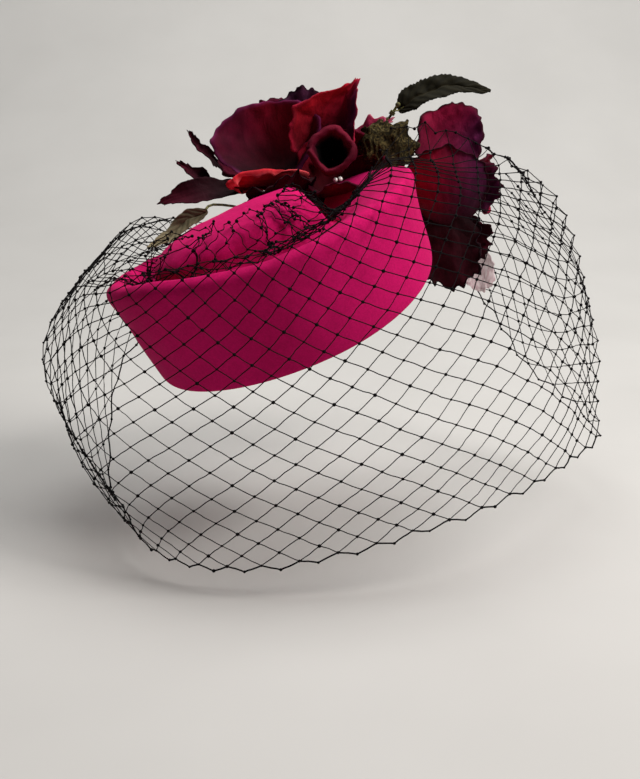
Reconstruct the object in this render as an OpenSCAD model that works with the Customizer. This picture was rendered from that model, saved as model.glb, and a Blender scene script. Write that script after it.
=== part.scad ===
// A cocktail fascinator: a sculpted felt crown on a buckram base, sewn to a hair comb,
// with two fabric roses, leaves and a birdcage veil. Millimetres, +Z up, as it is worn,
// with the wearer looking along -Y. The origin is the middle of the crown's base opening.

/* [Crown] */
// Half the length of the crown's base outline
base_half_length = 65; // [60:1:72]
// Half the width of the crown's base outline
base_half_width = 55; // [55:1:60]
// Mean height of the crown's ridge above its base
ridge_height = 43; // [41:1:46]
// How much higher than the mean the ridge stands at the front
ridge_rise = 15; // [13:1:16]
// How much lower the ridge dips on the wearer's right of the forehead
front_dip = 10; // [0:1:12]
// How far the wall leans outward between base and ridge
wall_flare = 3; // [2:0.5:6]
// Width of the rolled ridge on the narrow side
ridge_width = 13; // [10:1:16]
// Width of the broad folded lobe on the wearer's left
lobe_width = 36; // [26:1:40]
// Depth of the groove between ridge and dome
groove_depth = 11; // [8:1:12]
// Height of the dome inside the ridge
dome_height = 50; // [46:1:52]
// How far the crown is tilted towards the forehead, in degrees
tilt_forward = 14; // [13:1:14]
// How far the crown is tilted to the wearer's right, in degrees
tilt_side = 24; // [22:1:24]

/* [Materials and thicknesses] */
// Thickness of the felt cover
felt_t = 1.1; // [0.8:0.1:1.2]
// Thickness of the stiff buckram base
buckram_t = 1.0; // [0.8:0.1:1.0]
// Thickness of the lining cloth
lining_t = 0.5; // [0.4:0.1:0.8]
// Thickness of the head-size ribbon
ribbon_t = 1.0; // [0.8:0.1:1.2]
// Height of the head-size ribbon
ribbon_h = 10; // [8:1:10]
// Thickness of the solid that stands for the net
net_t = 0.6; // [0.5:0.1:0.9]

/* [Comb] */
// Width over the comb's spine
comb_w = 48; // [40:8:48]
// Radius of the comb's round spine
comb_spine_r = 1.2; // [1.0:0.1:1.4]
// Length of the teeth
comb_tooth = 36; // [28:1:38]
// Radial play between the spine and its thread loops
comb_play = 0.08; // [0.05:0.01:0.1]

/* [Flowers] */
// Length of the longest petal of the rose on the crown
rose_left_length = 40; // [34:1:40]
// Length of the longest petal of the rose beside the crown
rose_right_length = 38; // [32:1:38]
// Thickness of a velvet petal
petal_t = 0.7; // [0.5:0.1:0.8]
// Length of the large leaf's blade
leaf_length = 46; // [40:1:52]

/* [Hidden] */
LEFT_PETALS = 10;
RIGHT_PETALS = 9;

FELT = "#c41d63";
VELVET = "#7d0f2c";
LEAF_GREEN = "#3c4230";
around = 44;          // sections round the crown
outline_power = 2.2;  // squareness of the base outline
corner_share = 0.035; // how far the three soft corners stand out
corner_at = -75;      // direction of the front corner
high_at = -98;        // direction in which the ridge stands highest
lobe_at = 10;         // direction of the lobe's middle
lobe_spread = 80;     // half the angle that the lobe takes up
lobe_drop = 3.5;      // how much lower the ridge is at the lobe
dip_at = -82;         // direction of the dip's middle
dip_spread = 80;      // half the angle that the dip takes up
dome_at = [-9, 1];    // middle of the dome
dome_half = [49, 34]; // half the dome's length and width
dome_lean = 0.14;     // slope of the dome's top, up towards the front
comb_y = -42.5;       // the comb's spine, forward of the origin
comb_z = 4.5;         // and above the base
comb_pitch = 4;       // space between the middles of two teeth
thread_r = 0.4;
wire_r = 0.6;
gap = 0.15;           // space left between sewn layers

// ---- Vectors and curves ------------------------------------------------------------

function unit(v) = v / norm(v);
function mix(a, b, t) = a + (b - a) * t;
function flat(rows) = [for (row = rows) each row];

// The crown's own frame turned as it is worn.
module worn() { rotate([tilt_forward, -tilt_side, 0]) children(); }
function worn_point(p) =
    let (c = cos(tilt_forward), s = sin(tilt_forward),
         y = p.y * c - p.z * s, z = p.y * s + p.z * c)
    [p.x * cos(tilt_side) - z * sin(tilt_side), y, p.x * sin(tilt_side) + z * cos(tilt_side)];

// A smooth curve through the points, with n steps between each two.
function spline(p, n) = [
    for (k = [0 : len(p) - 2], i = [0 : n - 1])
        let (t = i / n, a = p[max(k - 1, 0)], b = p[k], c = p[k + 1], d = p[min(k + 2, len(p) - 1)])
        0.5 * (2 * b + (c - a) * t + (2 * a - 5 * b + 4 * c - d) * t * t
               + (3 * b - a - 3 * c + d) * t * t * t),
    p[len(p) - 1]];

// A profile [radius, height] moved inward by d; its outer side is on the right of its travel.
function inset(p, d) = [
    for (i = [0 : len(p) - 1])
        let (t = unit(p[min(i + 1, len(p) - 1)] - p[max(i - 1, 0)]))
        p[i] - d * [t.y, -t.x]];

// A grid of points moved by d against its outward normal.
function sunk(g, d) = [
    for (i = [0 : len(g) - 1]) [
        for (j = [0 : len(g[0]) - 1])
            let (u = g[min(i + 1, len(g) - 1)][j] - g[max(i - 1, 0)][j],
                 v = g[i][min(j + 1, len(g[0]) - 1)] - g[i][max(j - 1, 0)])
            g[i][j] - d * unit(cross(u, v))]];

function polar(a, p) = [p.x * cos(a), p.x * sin(a), p.y];

// ---- Solids from grids -------------------------------------------------------------

// Triangles of an n by m grid of points that starts at index s.
function grid_faces(n, m, s, wrap, flip) = [
    for (i = [0 : n - (wrap ? 1 : 2)], j = [0 : m - 2])
        let (a = s + i * m + j, b = s + ((i + 1) % n) * m + j)
        each flip ? [[a, b + 1, a + 1], [a, b, b + 1]] : [[a, a + 1, b + 1], [a, b + 1, b]]];

// A strip of triangles that joins point a to b on one grid with the same edge on the other.
function edge_faces(a, b, s) = [[a, b, b + s], [a, b + s, a + s]];

// A thin closed sheet between an outer and an inner grid of points.
module sheet_solid(outer, inner) {
    n = len(outer);
    m = len(outer[0]);
    s = n * m;
    polyhedron(
        points = concat(flat(outer), flat(inner)),
        faces = concat(
            grid_faces(n, m, 0, false, false),
            grid_faces(n, m, s, false, true),
            [for (i = [0 : n - 2]) each edge_faces(i * m, (i + 1) * m, s)],
            [for (i = [0 : n - 2]) each edge_faces((i + 1) * m + m - 1, i * m + m - 1, s)],
            [for (j = [0 : m - 2]) each edge_faces(j + 1, j, s)],
            [for (j = [0 : m - 2]) each edge_faces((n - 1) * m + j, (n - 1) * m + j + 1, s)]));
}

// A closed bowl between two grids that go all the way round, each ending in a pole.
module bowl_solid(outer, inner, outer_pole, inner_pole) {
    n = len(outer);
    m = len(outer[0]);
    s = n * m;
    polyhedron(
        points = concat(flat(outer), flat(inner), [outer_pole, inner_pole]),
        faces = concat(
            grid_faces(n, m, 0, true, false),
            grid_faces(n, m, s, true, true),
            [for (i = [0 : n - 1]) each edge_faces(i * m, ((i + 1) % n) * m, s)],
            [for (i = [0 : n - 1])
                let (a = i * m + m - 1, b = ((i + 1) % n) * m + m - 1)
                each [[b, a, 2 * s], [s + a, s + b, 2 * s + 1]]]));
}

// A round tube of radius r, or of the radii in r, along a path.
module tube(path, r, sides = 8, ref = [0, 0, 1], closed = false) {
    n = len(path);
    rings = [
        for (k = [0 : n - 1])
            let (before = closed ? path[(k + n - 1) % n] : path[max(k - 1, 0)],
                 after = closed ? path[(k + 1) % n] : path[min(k + 1, n - 1)],
                 t = unit(after - before),
                 u = unit(cross(t, ref)),
                 v = cross(t, u),
                 radius = is_list(r) ? r[k] : r)
            [for (i = [0 : sides - 1])
                path[k] + radius * (u * cos(360 * i / sides) + v * sin(360 * i / sides))]];
    loops = closed ? n - 1 : n - 2;
    polyhedron(
        points = flat(rings),
        faces = concat(
            [for (k = [0 : loops], i = [0 : sides - 1])
                let (h = (i + 1) % sides, top = ((k + 1) % n) * sides,
                     a = k * sides + i, b = k * sides + h, c = top + h, d = top + i)
                each [[a, d, c], [a, c, b]]],
            closed ? [] : [[for (i = [0 : sides - 1]) i],
                           [for (i = [sides - 1 : -1 : 0]) (n - 1) * sides + i]]));
}

// ---- The crown ---------------------------------------------------------------------

// Distance from the origin to the base outline in direction a.
function outline(a) =
    pow(pow(abs(cos(a)) / base_half_length, outline_power)
        + pow(abs(sin(a)) / base_half_width, outline_power), -1 / outline_power)
    * (1 + corner_share * cos(3 * (a - corner_at)));

// Distance from the origin to the dome's oval edge in direction a.
function dome_edge(a) =
    let (c = cos(a) / dome_half.x, s = sin(a) / dome_half.y,
         x = dome_at.x / dome_half.x, y = dome_at.y / dome_half.y,
         qa = c * c + s * s, qb = -2 * (c * x + s * y), qc = x * x + y * y - 1)
    (-qb + sqrt(qb * qb - 4 * qa * qc)) / (2 * qa);

function turn(a) = (a + 540) % 360 - 180;
// A swell that is 1 in the direction middle and dies away within spread.
function swell(a, middle, spread) =
    let (d = abs(turn(a - middle))) d < spread ? pow(cos(90 * d / spread), 2) : 0;
function lobe_share(a) = swell(a, lobe_at, lobe_spread);
function ridge_top(a) =
    ridge_height + ridge_rise * cos(a - high_at)
    - front_dip * swell(a, dip_at, dip_spread) - lobe_drop * lobe_share(a);
function ridge_reach(a) = outline(a) + wall_flare * (1 + 0.4 * lobe_share(a));
function ridge_span(a) = mix(ridge_width, lobe_width, lobe_share(a));
function dome_foot(a) = min(dome_edge(a), ridge_reach(a) - ridge_span(a) - 5);
function groove_floor(a) = ridge_top(a) - groove_depth + 3 * lobe_share(a);

// The felt's turned-in hem, then the wall, ridge, groove and dome.
function hem_points(a) = let (r = outline(a)) [[r - 3.4, 5], [r - 3.3, 1.2], [r - 1.4, 0.25]];
function wall_points(a) =
    let (r = outline(a), h = ridge_top(a), top = ridge_reach(a))
    [[r + 0.5, 1.6], [mix(r, top, 0.5), h * 0.35], [mix(r, top, 0.85), h * 0.7],
     [top + 0.5, h * 0.93], [top - 3, h], [top - ridge_span(a) * 0.55, h - 1.5]];
function groove_points(a) =
    let (d = dome_foot(a), z = groove_floor(a)) [[d + 4.5, z + 2], [d + 1, z]];
function dome_points(a) =
    let (d = dome_foot(a), z = groove_floor(a), lean = dome_lean * d * cos(a - high_at),
         crest = dome_height - 1.5 + 0.72 * lean)
    [[d - 2, mix(z, crest, 0.15)], [d - 5, mix(z, crest, 0.7)], [d * 0.72, crest],
     [d * 0.36, dome_height + 1 + 0.36 * lean]];

// The profile of a layer that starts part of the way up the wall or at the groove.
function cover_profile(a) =
    spline(concat(hem_points(a), wall_points(a), groove_points(a), dome_points(a)), 2);
function from_point(profile, k) = [for (i = [2 * k : len(profile) - 1]) profile[i]];
function base_profile(a) = from_point(cover_profile(a), 4);
function dome_profile(a) = from_point(cover_profile(a), 10);

// A layer of the crown between two depths below the felt's outer face.
module crown_layer(profile_grid, shallow, deep, drop = 0) {
    angles = [for (i = [0 : around - 1]) i * 360 / around];
    outer = [for (i = [0 : around - 1])
        [for (p = inset(profile_grid[i], shallow)) polar(angles[i], p)]];
    inner = [for (i = [0 : around - 1])
        [for (p = inset(profile_grid[i], deep)) polar(angles[i], p)]];
    top = dome_height + 1.6 - drop;
    worn() bowl_solid(outer, inner, [0, 0, top - shallow], [0, 0, top - deep]);
}

module crown_cover() {
    color(FELT)
        crown_layer([for (i = [0 : around - 1]) cover_profile(i * 360 / around)], 0, felt_t);
}

module buckram_base() {
    color("#d9cdb4")
        crown_layer([for (i = [0 : around - 1]) base_profile(i * 360 / around)],
                    felt_t + gap, felt_t + gap + buckram_t);
}

// The lining hangs from the ribbon's top edge and follows the dome from below.
module crown_lining() {
    under = felt_t + buckram_t + 1.5;
    color("#8e1a4a")
        crown_layer(
            [for (i = [0 : around - 1])
                let (a = i * 360 / around,
                     hung = inset(dome_profile(a), under),
                     start = [outline(a) - 5.1, ribbon_h + 0.6])
                concat([start, mix(start, hung[0], 0.5)], hung)],
            0, lining_t, drop = under);
}

// Millinery wire held in the fold of the hem.
module edge_wire() {
    color("#8a8d90")
        worn() tube([for (i = [0 : around - 1])
                        let (a = i * 360 / around) polar(a, [outline(a) - 1.3, 2.2])],
                    0.5, 6, closed = true);
}

// The base outline drawn in by d, and a flat ring of it with thickness t.
module outline_shape(d) {
    polygon([for (i = [0 : around - 1])
        let (a = i * 360 / around) (outline(a) - d) * [cos(a), sin(a)]]);
}
module outline_ring(d, t, h) {
    linear_extrude(h) difference() {
        outline_shape(d);
        outline_shape(d + t);
    }
}

ribbon_inset = 3.6;
module head_ribbon() {
    color("#5e1030") worn() outline_ring(ribbon_inset, ribbon_t, ribbon_h);
}

// Small slip stitches on the inner face of the ribbon, near its top edge.
module ribbon_stitches() {
    step = 360 / around;
    color("#c41d63") worn()
        for (i = [0 : around - 1])
            let (a = i * step,
                 ends = [for (b = [a, a + step])
                     polar(b, [outline(b) - ribbon_inset - ribbon_t - 0.35, ribbon_h - 1.2])])
            aim(mix(ends[0], ends[1], 0.3), ends[1] - ends[0])
                cylinder(r = 0.25, h = 3.2, $fn = 16);
}

// ---- The comb ----------------------------------------------------------------------

module comb() {
    teeth = floor(comb_w / comb_pitch);
    first = -(teeth - 1) / 2 * comb_pitch;
    color("#2b2320") worn() translate([0, comb_y, comb_z]) {
        rotate([0, 90, 0]) cylinder(r = comb_spine_r, h = comb_w, center = true, $fn = 48);
        for (k = [0 : teeth - 1])
            translate([first + k * comb_pitch, 0, 0]) rotate([-90, 0, 0]) {
                cylinder(r1 = 1.0, r2 = 0.55, h = comb_tooth, $fn = 32);
                translate([0, 0, comb_tooth]) sphere(r = 0.55, $fn = 32);
            }
    }
}

// Thread rings round the spine, each with a thread back to the ribbon.
loop_r = comb_spine_r + comb_play + thread_r;
module comb_loops() {
    reach = 5.2;
    color("#141012") worn()
        for (x = [-20, -8, 8, 20]) {
            translate([x, comb_y, comb_z]) rotate([0, 90, 0])
                rotate_extrude($fn = 48) translate([loop_r, 0]) circle(r = thread_r, $fn = 16);
            back = norm([x, comb_y]) < 44.5 ? reach : reach - 2.6;
            translate([x, comb_y - loop_r, comb_z]) rotate([90, 0, 0])
                cylinder(r = thread_r * 0.8, h = back, $fn = 16);
        }
}

// ---- The veil ----------------------------------------------------------------------

// Sections of the net, from the back on the wearer's right round the face to the back again.
// Each has its direction round the crown, then the upper belly, lower belly and free edge.
// Where the net passes round the rose beside the crown, the direction is replaced by the
// two points at which its gathered edge is held.
VEIL = [
    [118, [-40, 60, 29], [-46, 68, 14], [-36, 66, 4]],
    [140, [-76, 50, 33], [-96, 58, -4], [-88, 62, -42]],
    [162, [-90, 20, 19], [-117, 18, -23], [-90, 20, -90]],
    [190, [-94, -14, 10], [-104, -16, -38], [-76, -20, -88]],
    [225, [-72, -52, -6], [-80, -60, -50], [-55, -62, -90]],
    [262, [-22, -82, -10], [-24, -84, -52], [-20, -80, -90]],
    [300, [38, -72, 6], [48, -78, -38], [46, -76, -78]],
    [332, [78, -40, 30], [98, -44, -18], [98, -48, -68]],
    [374, [106, 10, 50], [131, 12, 0], [141, 12, -68]],
    [[[31, 16, 63], [45, 19, 73]], [106, 20, 54], [133, 24, 1], [141, 28, -67]],
    [[[70, 14, 71], [82, 17, 68]], [110, 30, 44], [136, 40, 2], [137, 50, -62]],
    [[[96, 50, 64], [101, 52, 57]], [114, 56, 38], [130, 68, 2], [121, 84, -52]],
    [[[86, 100, 62], [90, 104, 54]], [94, 106, 40], [96, 107, 18], [88, 104, -10]],
    [[[32, 76, 42], [33, 78, 38]], [34, 80, 32], [34, 80, 26], [32, 78, 18]]];
net_clear = 3.5; // between the net's outside and the felt
veil_steps = 4;
seam = 1.9;      // half the space between the panels
front_from = 2;  // sections between which the net is the front panel
front_to = 8;

// Where a section is held: on the ridge's shoulder and top and in the groove, or round the rose.
function held_on_crown(a) =
    let (reach = ridge_reach(a), top = ridge_top(a) + net_clear)
    [worn_point(polar(a, [reach + 0.8, top])),
     worn_point(polar(a, [reach - ridge_span(a) * 0.5, top])),
     worn_point(polar(a, [dome_foot(a) + 3, groove_floor(a) + net_clear + 0.5]))];
function held_on_rose(points) = [mix(points[1], points[0], -0.6), points[1], points[0]];
function veil_section(s) =
    concat([s[3], s[2], s[1]], is_list(s[0]) ? held_on_rose(s[0]) : held_on_crown(s[0]));

// Grid of the whole net: splines round the head, then splines up each of them. As far as
// the front panel goes, the held rows follow the crown exactly.
veil_keys = [for (s = VEIL) veil_section(s)];
directions = spline([for (k = [0 : front_to]) VEIL[k][0]], veil_steps);
veil_rings = [for (j = [0 : 5])
    let (ring = spline([for (k = veil_keys) k[j]], veil_steps))
    [for (i = [0 : len(ring) - 1])
        j > 2 && i < len(directions) ? held_on_crown(directions[i])[j - 3] : ring[i]]];
veil_grid = [for (i = [0 : len(veil_rings[0]) - 1])
    spline([for (j = [0 : 5]) veil_rings[j][i]], 3)];
veil_inner = sunk(veil_grid, net_t);
seam_from = front_from * veil_steps;
seam_to = front_to * veil_steps;

// A row of a grid drawn by d towards the next one.
function drawn(row, next, d) = [
    for (j = [0 : len(row) - 1])
        mix(row[j], next[j], min(0.9, d / norm(next[j] - row[j])))];
function part_of(g, from, to, d) = [
    for (i = [from : to])
        i == from && from > 0 ? drawn(g[i], g[i + 1], d)
        : i == to && to < len(g) - 1 ? drawn(g[i], g[i - 1], d) : g[i]];

module net_panel(from, to) {
    sheet_solid(part_of(veil_grid, from, to, seam), part_of(veil_inner, from, to, seam));
}
module veil_front() { color("#1b1719", 0.5) net_panel(seam_from, seam_to); }
module veil_back() {
    color("#262023", 0.5) {
        net_panel(0, seam_from);
        net_panel(seam_to, len(veil_grid) - 1);
    }
}

// The gathering thread, run along the groove under the net's top edge.
module veil_stitches() {
    color("#141012")
        tube([for (a = [128 : 7 : 373])
                worn_point(polar(a, [dome_foot(a) + 3, groove_floor(a) + 2]))], 0.3, 6);
}

// The tacks that the front of the net swings about, one at each temple.
tacks = [for (a = [164, 379])
    worn_point(polar(a, [ridge_reach(a) - ridge_span(a) * 0.5, ridge_top(a) + 0.8]))];
module veil_tacks() {
    color("#141012") for (p = tacks) translate(p) sphere(r = 0.6, $fn = 24);
}

// ---- The roses ---------------------------------------------------------------------

// Places a flower with its own +Z along a direction.
module aim(at, towards) {
    d = unit(towards);
    translate(at) rotate([0, acos(d.z), atan2(d.y, d.x)]) children();
}

rose_left_at = [-12, 49, 62];
rose_left_to = [0.4, -0.4, 0.82];
rose_right_at = [62, 54, 40];
rose_right_to = [0.86, -0.12, 0.42];
layer_r = 0.95;     // each petal starts this much further out than the last
layer_drop = 0.6;   // and this much lower
golden_turn = 137.5;

// A petal is a patch of a cup. The cups of successive petals lie inside one another.
function cup_point(k, opening, length, t) =
    let (out = mix(opening * 0.35, opening, t), bulge = 0.10 * length * sin(180 * t))
    [3.2 + layer_r * k + length * t * sin(out) + bulge * cos(out) * opening / 75,
     -layer_drop * k + length * t * cos(out) - bulge * sin(out) * 0.3];
function petal_width(t) = 0.45 + 0.55 * sin(180 * mix(0.1, 0.84, t));

// Petals on the downhill side are propped up by the crown.
function petal_opening(k, count, direction) =
    mix(10, 72, k / count) * (1 - 0.34 * max(0, cos(direction)));
function petal_profile(k, opening, length) = [for (j = [0 : 6]) cup_point(k, opening, length, j / 6)];

module petal(k, count, direction, length, spread) {
    opening = petal_opening(k, count, direction);
    outside = petal_profile(k, opening, length);
    inside = inset(outside, petal_t);
    half = [for (j = [0 : 6])
        let (far = length * j / 6 * sin(opening) + 6 + layer_r * k)
        min(spread, 0.9 * length / far * 57) * petal_width(j / 6)];
    color(VELVET) sheet_solid(
        [for (i = [-3 : 3]) [for (j = [0 : 6]) polar(direction + half[j] * i / 3, outside[j])]],
        [for (i = [-3 : 3]) [for (j = [0 : 6]) polar(direction + half[j] * i / 3, inside[j])]]);
}

function petal_length(longest, k, count) = longest * mix(0.62, 1, min(1, k / count * 1.3));
function left_direction(k) = 40 + golden_turn * k;
function right_direction(k) = 90 + golden_turn * k;

module rose_left_petal(k) {
    aim(rose_left_at, rose_left_to)
        petal(k, LEFT_PETALS, left_direction(k),
              petal_length(rose_left_length, k, LEFT_PETALS), 62);
}

module rose_right_petal(k) {
    aim(rose_right_at, rose_right_to)
        petal(k, RIGHT_PETALS, right_direction(k),
              petal_length(rose_right_length, k, RIGHT_PETALS), 60);
}

// The tightly rolled heart of a rose.
module bud(height) {
    color("#5c0a20") rotate_extrude($fn = 40)
        polygon([[0, -2], [1.6, -2], [2.4, 2], [3.6, height * 0.5], [2.6, height * 0.85],
                 [0, height]]);
}
module rose_left_bud() { aim(rose_left_at, rose_left_to) bud(19); }
module rose_right_bud() { aim(rose_right_at, rose_right_to) bud(18); }

// The cup under the petals, with the first of the stem.
module calyx(layers) {
    low = -layer_drop * layers - 1.6;
    color(LEAF_GREEN) rotate_extrude($fn = 40)
        polygon([[0, low - 5], [1.8, low - 5], [3.2, low - 2.5], [layer_r * layers + 3, low],
                 [layer_r * layers + 2, low + 0.6], [0, low - 1.2]]);
}
module rose_left_calyx() { aim(rose_left_at, rose_left_to) calyx(LEFT_PETALS); }
module rose_right_calyx() { aim(rose_right_at, rose_right_to) calyx(RIGHT_PETALS); }

// ---- Stems and the patch that they are sewn to --------------------------------------

mount_at = [17, 62, 14];  // in the crown's own frame, on the outside of the back wall
mount_lean = 13;
module flower_mount() {
    color("#9c174f") worn() translate(mount_at) rotate([-90 - mount_lean, 0, 0])
        linear_extrude(1.2) hull()
            for (x = [-11, 11]) translate([x, 0]) circle(r = 8, $fn = 48);
}

function under_rose(at, to, layers) = at - unit(to) * (layer_drop * layers + 7.2);
function on_mount(x, up) =
    worn_point(mount_at + [x, 3.3 + up * sin(mount_lean), up * cos(mount_lean)]);

module wrapped_stem(from, to, to_dir) {
    color("#5d5a33") tube(spline([from, mix(from, to - to_dir * 9, 0.6), to - to_dir * 4, to], 3), 1.1);
}
module rose_left_stem() {
    wrapped_stem(on_mount(-8, -2), under_rose(rose_left_at, rose_left_to, LEFT_PETALS),
                 unit(rose_left_to));
}
module rose_right_stem() {
    wrapped_stem(on_mount(11, -3), under_rose(rose_right_at, rose_right_to, RIGHT_PETALS),
                 unit(rose_right_to));
}

// ---- Leaves ------------------------------------------------------------------------

// A leaf blade along a path, with its width and cross fold as functions of the place.
module blade(path, side, width, fold, t, thick = 0.7) {
    n = len(path);
    up = [for (k = [0 : n - 1])
        let (along = unit(path[min(k + 1, n - 1)] - path[max(k - 1, 0)])) unit(cross(side, along))];
    grid = [for (i = [-2 : 2])
        [for (k = [0 : n - 1])
            let (w = width * (0.08 + sin(180 * pow(k / (n - 1), 0.85))) / 2 * i / 2)
            path[k] + side * w + up[k] * abs(w) * fold]];
    sheet_solid(grid, sunk(grid, thick));
}

// A straight wire that stands on the patch; the large leaf's stem is twisted round it.
post_foot = on_mount(18, 3);
post_top = [46, 49, 86];
post_dir = unit(post_top - post_foot);
eye_at = post_top - post_dir * 4.5;
module leaf_post() {
    color("#6b5a3a") {
        aim(post_foot, post_dir) {
            cylinder(r = wire_r, h = norm(post_top - post_foot), $fn = 32);
            translate([0, 0, norm(post_top - post_foot)]) sphere(r = 1.2, $fn = 32);
        }
        aim(eye_at - post_dir * 4.2, post_dir) cylinder(r = 1.2, h = 1.2, $fn = 32);
    }
}

// The blade with its stem and the eye that turns on the post.
module large_leaf() {
    eye_r = 1.6;
    stem_dir = unit(cross(cross(post_dir, [1, 0, 0]), post_dir));
    root = eye_at + [3.4, -1, 1.2];
    tip = root + leaf_length * unit([0.93, -0.05, 0.16]);
    path = spline([root, mix(root, tip, 0.3) + [-2, 0, 8], mix(root, tip, 0.65) + [0, 0, 7], tip], 4);
    color(LEAF_GREEN) blade(path, [0.1, 0.82, 0.56], 22, 0.25, 1);
    color("#4a4a2e") {
        aim(eye_at - post_dir * 2, post_dir) difference() {
            cylinder(r = eye_r, h = 4, $fn = 48);
            translate([0, 0, -1]) cylinder(r = wire_r + 0.07, h = 6, $fn = 48);
        }
        tube([eye_at + stem_dir * 1.2, eye_at + stem_dir * 2.6, root + [1, 0, 0.6]], 0.6, 8);
    }
}

small_foot = [-44, 27, 39];
small_tip = [-66, 8, 27];
module small_leaf() {
    path = spline([small_foot, mix(small_foot, small_tip, 0.5) + [-1, 0, 2], small_tip], 4);
    color("#6a6152") blade(path, unit([0.35, 0.1, 0.9]), 8, 0.2, 1);
}
module small_leaf_stem() {
    color("#6a6152")
        tube(spline([small_foot + [1.4, 1.2, 0.4], [-40, 42, 41], [-27, 62, 37], on_mount(-16, 4)], 3),
             0.6, 8);
}

// A crumpled velvet leaf that fills the space between the roses.
module moss_leaf() {
    root = [37, 41, 63];
    color("#55542f") {
        blade(spline([root, [42, 33, 73], [38, 25, 75], [42, 20, 68], [38, 18, 62]], 3),
              unit([0.95, 0.3, 0.05]), 15, 0.35, 1);
        tube(spline([root + [-1, 0.6, -0.5], [32, 50, 52], on_mount(15, 4)], 3), 0.6, 8);
    }
}

// ---- Loose petals and pins ---------------------------------------------------------

module loose_petal(from, to, lift, side, width) {
    path = spline([from, mix(from, to, 0.5) + lift, to], 4);
    blade(path, unit(side), width, 0.2, 1);
}
module sepal_long() {
    color("#54081d") loose_petal([-38, 28, 46], [-66, 18, 42], [0, 0, 3], [0.2, 0.6, -0.5], 13);
}
module sepal_upper() {
    color("#54081d") loose_petal([-44, 33, 61], [-53, 32, 76], [-2, 0, 1], [0.5, 0.6, 0.4], 6);
}
module sepal_lower() {
    color("#54081d") loose_petal([-46, 27, 53], [-60, 27, 63], [-1, 0, 1], [0.3, 0.8, 0.3], 6);
}
module organza_petal() {
    color("#d9b8bd") loose_petal([80, 78, 26], [92, 62, 2], [4, 0, 0], [0.5, -0.6, 0.2], 15);
}

// Round heads of the two pins in the rose's lowest petal.
module pin_heads() {
    k = LEFT_PETALS;
    direction = left_direction(k);
    length = petal_length(rose_left_length, k, k);
    face = inset(petal_profile(k, petal_opening(k, k, direction), length), -1.2);
    color("#f2efe9") aim(rose_left_at, rose_left_to)
        for (side = [26, 31]) translate(polar(direction + side, face[5])) sphere(r = 1.1, $fn = 32);
}

// ---- Drawing -----------------------------------------------------------------------

crown_cover();
buckram_base();
edge_wire();
head_ribbon();
crown_lining();
ribbon_stitches();
comb();
comb_loops();
flower_mount();
veil_front();
veil_back();
veil_stitches();
veil_tacks();
rose_left_bud();
rose_left_calyx();
rose_left_stem();
rose_right_bud();
rose_right_calyx();
rose_right_stem();
leaf_post();
large_leaf();
small_leaf();
small_leaf_stem();
moss_leaf();
sepal_long();
sepal_upper();
sepal_lower();
organza_petal();
pin_heads();
for (k = [1 : LEFT_PETALS])
    rose_left_petal(k);
for (k = [1 : RIGHT_PETALS])
    rose_right_petal(k);
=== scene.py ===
"""Looks of the fascinator headpiece: felt crown, velvet roses, leaves and a knotted net veil."""
import math

import bpy
import numpy as np
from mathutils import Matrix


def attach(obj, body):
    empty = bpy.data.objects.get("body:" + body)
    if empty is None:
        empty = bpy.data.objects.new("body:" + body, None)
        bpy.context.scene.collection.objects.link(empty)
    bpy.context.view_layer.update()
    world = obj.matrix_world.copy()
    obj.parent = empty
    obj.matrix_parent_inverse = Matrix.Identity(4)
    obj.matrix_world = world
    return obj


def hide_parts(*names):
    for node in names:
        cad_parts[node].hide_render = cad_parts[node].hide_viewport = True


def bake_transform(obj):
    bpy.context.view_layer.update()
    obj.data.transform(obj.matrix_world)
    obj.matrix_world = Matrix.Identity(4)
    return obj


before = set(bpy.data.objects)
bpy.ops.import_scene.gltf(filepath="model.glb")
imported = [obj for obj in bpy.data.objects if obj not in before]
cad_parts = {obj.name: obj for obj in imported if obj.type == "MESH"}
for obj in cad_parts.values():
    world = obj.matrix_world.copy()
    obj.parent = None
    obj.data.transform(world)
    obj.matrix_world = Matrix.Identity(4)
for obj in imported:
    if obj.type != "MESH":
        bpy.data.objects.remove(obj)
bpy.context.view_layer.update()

MM = 0.001

# ---- Camera --------------------------------------------------------------------------

SENSOR = 36.0
LENS = 48.0616
CAMERA_AT = (0.010, -0.450, 0.092)
CAMERA_PITCH = math.radians(74)  # from looking straight down


def make_camera():
    data = bpy.data.cameras.new("camera")
    data.lens = LENS
    data.sensor_width = SENSOR
    camera = bpy.data.objects.new("camera", data)
    camera.location = CAMERA_AT
    camera.rotation_euler = (CAMERA_PITCH, 0, 0)
    bpy.context.scene.collection.objects.link(camera)
    bpy.context.scene.camera = camera


make_camera()
bpy.context.scene.view_settings.view_transform = "Standard"

# ---- Points and curves ---------------------------------------------------------------

WOBBLE_WAVES = 9
WOBBLE_SPREAD = 0.7  # share of the wavelength's own frequency that the waves spread over
TILT_FORWARD = math.radians(14)
TILT_SIDE = math.radians(24)


def unit(v):
    v = np.asarray(v, float)
    return v / np.maximum(np.linalg.norm(v, axis=-1, keepdims=True), 1e-12)


def smooth(t):
    t = np.clip(t, 0, 1)
    return t * t * (3 - 2 * t)


def spline(points, steps):
    """A Catmull-Rom curve through points (first axis), with steps between each two."""
    p = np.asarray(points, float)
    padded = np.concatenate([p[:1], p, p[-1:]])
    out = []
    for k in range(len(p) - 1):
        a, b, c, d = padded[k : k + 4]
        square, cube = 2 * a - 5 * b + 4 * c - d, 3 * b - a - 3 * c + d
        for i in range(steps):
            t = i / steps
            out.append(0.5 * (2 * b + (c - a) * t + square * t**2 + cube * t**3))
    out.append(p[-1])
    return np.array(out)


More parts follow.
